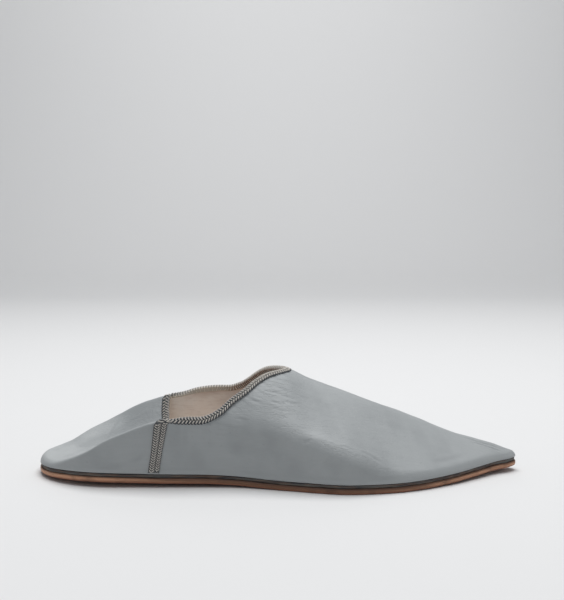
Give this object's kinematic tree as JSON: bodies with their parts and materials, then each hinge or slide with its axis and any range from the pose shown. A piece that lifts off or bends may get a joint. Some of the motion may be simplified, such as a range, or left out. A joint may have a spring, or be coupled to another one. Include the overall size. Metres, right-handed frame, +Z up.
{
  "type": "babouche slipper",
  "caption": "Low leather slipper with a pointed toe, open throat, heel quarter folded inward, thin layered sole, and braid along its edges and side seams.",
  "frame": {"origin": "under the middle of the slipper's bounding box, on the plane that the sole rests on", "axes": "+X from heel to toe, +Y towards the inner side of the foot, +Z up"},
  "size_m": [0.25, 0.0899, 0.055],
  "materials": {
    "outsole": "bare tan leather, worn edge",
    "midsole": "dark stained leather edge",
    "insole": "pale suede",
    "upper": "smooth grey leather, slight sheen",
    "throat_binding": "grey and cream braid",
    "heel_binding": "grey and cream braid",
    "seam_braid_outer": "grey and cream braid",
    "seam_braid_inner": "grey and cream braid"
  },
  "bodies": {
    "root": {"outsole": "outsole", "midsole": "midsole", "insole": "insole", "upper": "upper", "throat_binding": "throat_binding", "heel_binding": "heel_binding", "seam_braid_outer": "seam_braid_outer", "seam_braid_inner": "seam_braid_inner"}
  },
  "joints": []
}
